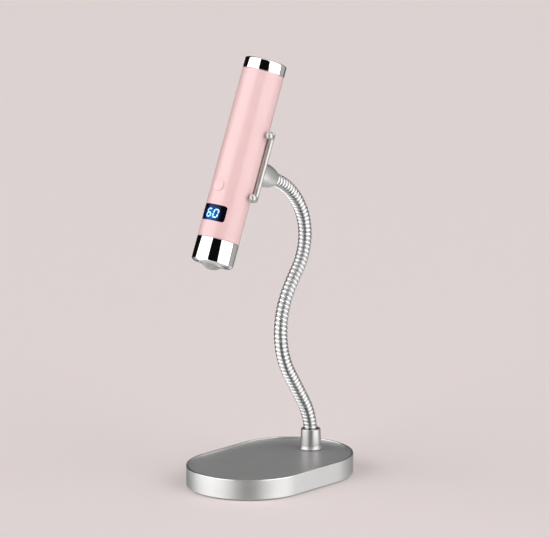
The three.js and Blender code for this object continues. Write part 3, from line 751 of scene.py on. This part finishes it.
def body_pieces():
    body = tube("torch_barrel", BODY_BORE, TORCH_RADIUS, COLLAR_LENGTH + 0.3, BODY_END - 0.3, 0.2)
    window_hole = display_block("hole", 0, DISPLAY_CORNER)
    boolean(body, window_hole, "DIFFERENCE")
    facing = Matrix.Translation((0, 0, BUTTON_CENTRE * MM)) @ Matrix.Rotation(math.pi / 2, 4, "X")
    button_hole = turned("hole", [(BUTTON_RADIUS + 0.1, 8), (BUTTON_RADIUS + 0.1, 20)], 64, facing)
    boolean(body, button_hole, "DIFFERENCE")
    mark_smooth(body)
    body.matrix_world = TORCH
    finish_piece(body, "torch", "torch_pink", PINK, "torch_body")

    window = tube("display_glass", WINDOW_BORE, TORCH_RADIUS - WINDOW_RECESS, 20, 45, 0.1)
    boolean(window, display_block("block", WINDOW_GAP, WINDOW_CORNER), "INTERSECT")
    mark_smooth(window)
    window.matrix_world = TORCH
    finish_piece(window, "torch", "window_black", WINDOW, "display_window")

    crown = []
    for radius in (2.8, 1.4, ON_AXIS):
        crown.append((radius, BUTTON_TOP + 0.1 * math.cos(radius / BUTTON_RADIUS * math.pi / 2)))
    cap = turned("button_key", rounded([
        (ON_AXIS, BUTTON_BOTTOM), (BUTTON_FLANGE, BUTTON_BOTTOM), (BUTTON_FLANGE, BUTTON_STEP),
        (BUTTON_RADIUS, BUTTON_STEP), (BUTTON_RADIUS, BUTTON_TOP - 0.02, 0.15), (3.3, BUTTON_TOP + 0.02),
    ]) + crown, 64, TORCH @ facing)
    finish_piece(cap, "button", "torch_pink", PINK, "button_cap")


def cap_piece():
    cap = turned("tail_cover", rounded([
        (ON_AXIS, TORCH_END - CAP_FLOOR), (CAP_BORE, TORCH_END - CAP_FLOOR),
        (CAP_BORE, CAP_INSERT_END), (INSERT_RADIUS, CAP_INSERT_END, 0.2), (INSERT_RADIUS, BODY_END),
        (TORCH_RADIUS, BODY_END, 0.15), (TORCH_RADIUS, TORCH_END, 1.0),
        (ON_AXIS, TORCH_END),
    ], 6), 128)
    slot_outline = []
    for x, start in ((SLOT_HALF_LENGTH, -90), (-SLOT_HALF_LENGTH, 90)):
        slot_outline += arc((x, 0), SLOT_RADIUS, start, start + 180, 10)
    tool = loft("slot", [[(x, y, height) for x, y in slot_outline] for height in (130, 145)])
    boolean(cap, tool, "DIFFERENCE")
    mark_smooth(cap)
    cap.matrix_world = TORCH
    finish_piece(cap, "torch", "torch_chrome", CHROME, "tail_cap")


SEGMENTS = {"6": "acdefg", "0": "abcdef"}
DIGIT_WIDTH = 3.1
DIGIT_HEIGHT = 5.2
DIGIT_GAP = 2.15
DIGIT_LEAN = 0.14
STROKE = 0.85
STROKE_TRIM = 0.22                   # cut from each end of a stroke, so the strokes don't touch
DIGIT_BACK, DIGIT_FACE = 13.9, 14.02


def digit_strokes(text):
    """Strokes of seven-segment figures, centred and leaning: pairs of (along the arc, height) ends."""
    half = DIGIT_HEIGHT / 2
    corners = {
        "a": ((0, 2), (1, 2)), "b": ((1, 1), (1, 2)), "c": ((1, 0), (1, 1)), "d": ((0, 0), (1, 0)),
        "e": ((0, 0), (0, 1)), "f": ((0, 1), (0, 2)), "g": ((0, 1), (1, 1)),
    }
    total = len(text) * DIGIT_WIDTH + (len(text) - 1) * DIGIT_GAP
    for place, digit in enumerate(text):
        left = place * (DIGIT_WIDTH + DIGIT_GAP) - total / 2
        for segment in SEGMENTS[digit]:
            ends = []
            for x, z in corners[segment]:
                rise = (z - 1) * half
                ends.append(Vector((left + x * DIGIT_WIDTH + rise * DIGIT_LEAN, rise)))
            yield ends


def display_digits():
    """The timer's figures: thin bars with pointed ends, wrapped round the window."""
    centre = Vector((0.9, DISPLAY_CENTRE - 0.5))
    points, faces = [], []
    ring_count = 8
    for start, end in digit_strokes("60"):
        along = (end - start).normalized()
        across = Vector((-along.y, along.x))
        start, end = start + along * STROKE_TRIM, end - along * STROKE_TRIM
        first = len(points)
        for step in range(ring_count):
            share = step / (ring_count - 1)
            half_width = STROKE / 2 * min(1, 0.3 + 5 * min(share, 1 - share))
            middle = centre + start.lerp(end, share)
            for radius, side in ((DIGIT_BACK, -1), (DIGIT_BACK, 1), (DIGIT_FACE, 1), (DIGIT_FACE, -1)):
                place = middle + across * half_width * side
                angle = place.x / TORCH_RADIUS
                points.append((radius * math.sin(angle), -radius * math.cos(angle), place.y))
        for step in range(ring_count - 1):
            for side in range(4):
                after = (side + 1) % 4
                low, high = first + 4 * step, first + 4 * step + 4
                faces.append((low + side, low + after, high + after, high + side))
        faces.append(tuple(range(first, first + 4)))
        faces.append(tuple(range(len(points) - 4, len(points))))
    digits = build("timer_digits", points, faces, TORCH)
    finish_piece(digits, "torch", "window_black", DIGITS)


# ---------- carried-over nodes ----------
NODE_FINISHES = {
    "base_cover": STEEL, "base_weight": STEEL, "socket_washer": ZINC, "socket_nut": ZINC,
    "clip_screw": ZINC, "clip_magnet_lower": ZINC, "clip_magnet_upper": ZINC,
    "lens_gasket": RUBBER, "uv_led": GOLD, "led_board": WHITE, "heat_sink": SINK,
    "display_module": WHITE, "tact_switch": STEEL, "main_board": BOARD, "inner_frame": WHITE,
    "battery_cell": WRAP, "front_contact": GOLD, "battery_spring": ZINC, "rear_contact": GOLD,
    "steel_keeper": ZINC, "charge_board": BOARD, "usb_receptacle": ZINC,
    **{f"base_screw_{number}": ZINC for number in range(1, 5)},
}


def finish_nodes():
    for name, material in NODE_FINISHES.items():
        data = frame["nodes"][name].data
        data.materials.clear()
        data.materials.append(material)


# ---------- studio ----------
CAMERA_AZIMUTH = math.radians(41.3)
CAMERA_ELEVATION = math.radians(15.0)
CAMERA_DISTANCE = 3.3596
CAMERA_LENS = 327.9
AIM_SIDE = 0.00089                   # how far the view's middle lies from the origin, over the distance
AIM_UP = 0.04184


def camera():
    toward = Vector((
        math.sin(CAMERA_AZIMUTH) * math.cos(CAMERA_ELEVATION),
        -math.cos(CAMERA_AZIMUTH) * math.cos(CAMERA_ELEVATION),
        math.sin(CAMERA_ELEVATION),
    ))
    right = Vector((math.cos(CAMERA_AZIMUTH), math.sin(CAMERA_AZIMUTH), 0))
    up = toward.cross(right)
    data = bpy.data.cameras.new("camera")
    data.lens = CAMERA_LENS
    data.sensor_width = 36
    data.clip_end = 20
    eye = bpy.data.objects.new("camera", data)
    eye.location = toward * CAMERA_DISTANCE
    look = -toward + right * AIM_SIDE + up * AIM_UP
    eye.rotation_euler = look.to_track_quat("-Z", "Y").to_euler()
    bpy.context.scene.collection.objects.link(eye)
    bpy.context.scene.camera = eye


def floor():
    mesh = bpy.data.meshes.new("floor")
    side = 6
    corners = [(-side, -side, 0), (side, -side, 0), (side, side, 0), (-side, side, 0)]
    mesh.from_pydata(corners, [], [(0, 1, 2, 3)])
    ground = new_object("floor", mesh)
    ground.location.z = -0.0002
    paint = Paint("pale_floor", (0.86, 0.78, 0.775), 0.7)
    mesh.materials.append(paint.material)
    ground.visible_glossy = False


# Each panel's left and right edge in azimuth, its bottom and top in elevation, and how soft its sides are,
# all in degrees, then its strength. Azimuth 0 is -Y and 90 is +X.
LIGHT_PANELS = [
    (-69, 11, -45, 62, 1.5, 2.0),
    (68, 136, -45, 62, 1.5, 2.0),
    (139, 180, -60, 80, 4, 0.42),
    (-190, -120, -60, 80, 6, 0.1),
]
DARKEST = 0.004                      # light from where no panel is


def studio_light():
    """Tall soft panels to both sides of the camera and dim ones behind; the camera sees plain pale."""
    world = bpy.data.worlds.new("studio")
    bpy.context.scene.world = world
    world.use_nodes = True
    nodes, links = world.node_tree.nodes, world.node_tree.links
    nodes.clear()

    def maths(operation, *values):
        node = nodes.new("ShaderNodeMath")
        node.operation = operation
        for index, value in enumerate(values):
            if isinstance(value, (int, float)):
                node.inputs[index].default_value = value
            else:
                links.new(value, node.inputs[index])
        return node.outputs[0]

    def edge(value, low, high):
        """0 below low, 1 above high, smooth between."""
        node = nodes.new("ShaderNodeMapRange")
        node.interpolation_type = "SMOOTHSTEP"
        node.inputs["From Min"].default_value = low
        node.inputs["From Max"].default_value = high
        links.new(value, node.inputs["Value"])
        return node.outputs["Result"]

    place = nodes.new("ShaderNodeTexCoord").outputs["Generated"]
    parts = nodes.new("ShaderNodeSeparateXYZ")
    links.new(place, parts.inputs["Vector"])
    toward_front = maths("MULTIPLY", parts.outputs["Y"], -1.0)
    azimuth = maths("DEGREES", maths("ARCTAN2", parts.outputs["X"], toward_front))
    elevation = maths("DEGREES", maths("ARCSINE", parts.outputs["Z"]))

    def panel(left, right, low, high, soft):
        inside = maths("MULTIPLY", edge(azimuth, left - soft, left + soft),
                       maths("SUBTRACT", 1.0, edge(azimuth, right - soft, right + soft)))
        tall = maths("MULTIPLY", edge(elevation, low - 6, low + 6),
                     maths("SUBTRACT", 1.0, edge(elevation, high - 6, high + 6)))
        return maths("MULTIPLY", inside, tall)

    overhead = maths("MULTIPLY", edge(elevation, 60, 75), 1.2)
    below = maths("MULTIPLY", maths("SUBTRACT", 1.0, edge(elevation, -40, -18)), 0.6)
    lit = maths("ADD", maths("ADD", overhead, below), DARKEST)
    for left, right, low, high, soft, strength in LIGHT_PANELS:
        lit = maths("ADD", lit, maths("MULTIPLY", panel(left, right, low, high, soft), strength))

    seen = nodes.new("ShaderNodeBackground")
    seen.inputs["Color"].default_value = (0.90, 0.84, 0.835, 1)
    light = nodes.new("ShaderNodeBackground")
    light.inputs["Color"].default_value = (1, 0.985, 0.98, 1)
    links.new(lit, light.inputs["Strength"])
    mix = nodes.new("ShaderNodeMixShader")
    path = nodes.new("ShaderNodeLightPath")
    links.new(path.outputs["Is Camera Ray"], mix.inputs["Fac"])
    links.new(light.outputs[0], mix.inputs[1])
    links.new(seen.outputs[0], mix.inputs[2])
    output = nodes.new("ShaderNodeOutputWorld")
    links.new(mix.outputs[0], output.inputs["Surface"])
    bpy.context.scene.view_settings.view_transform = "Standard"


camera()
floor()
studio_light()
base_pieces()
neck_pieces()
hub_piece()
clip_piece()
collar_piece()
lens_piece()
reflector_piece()
body_pieces()
cap_piece()
display_digits()
finish_nodes()
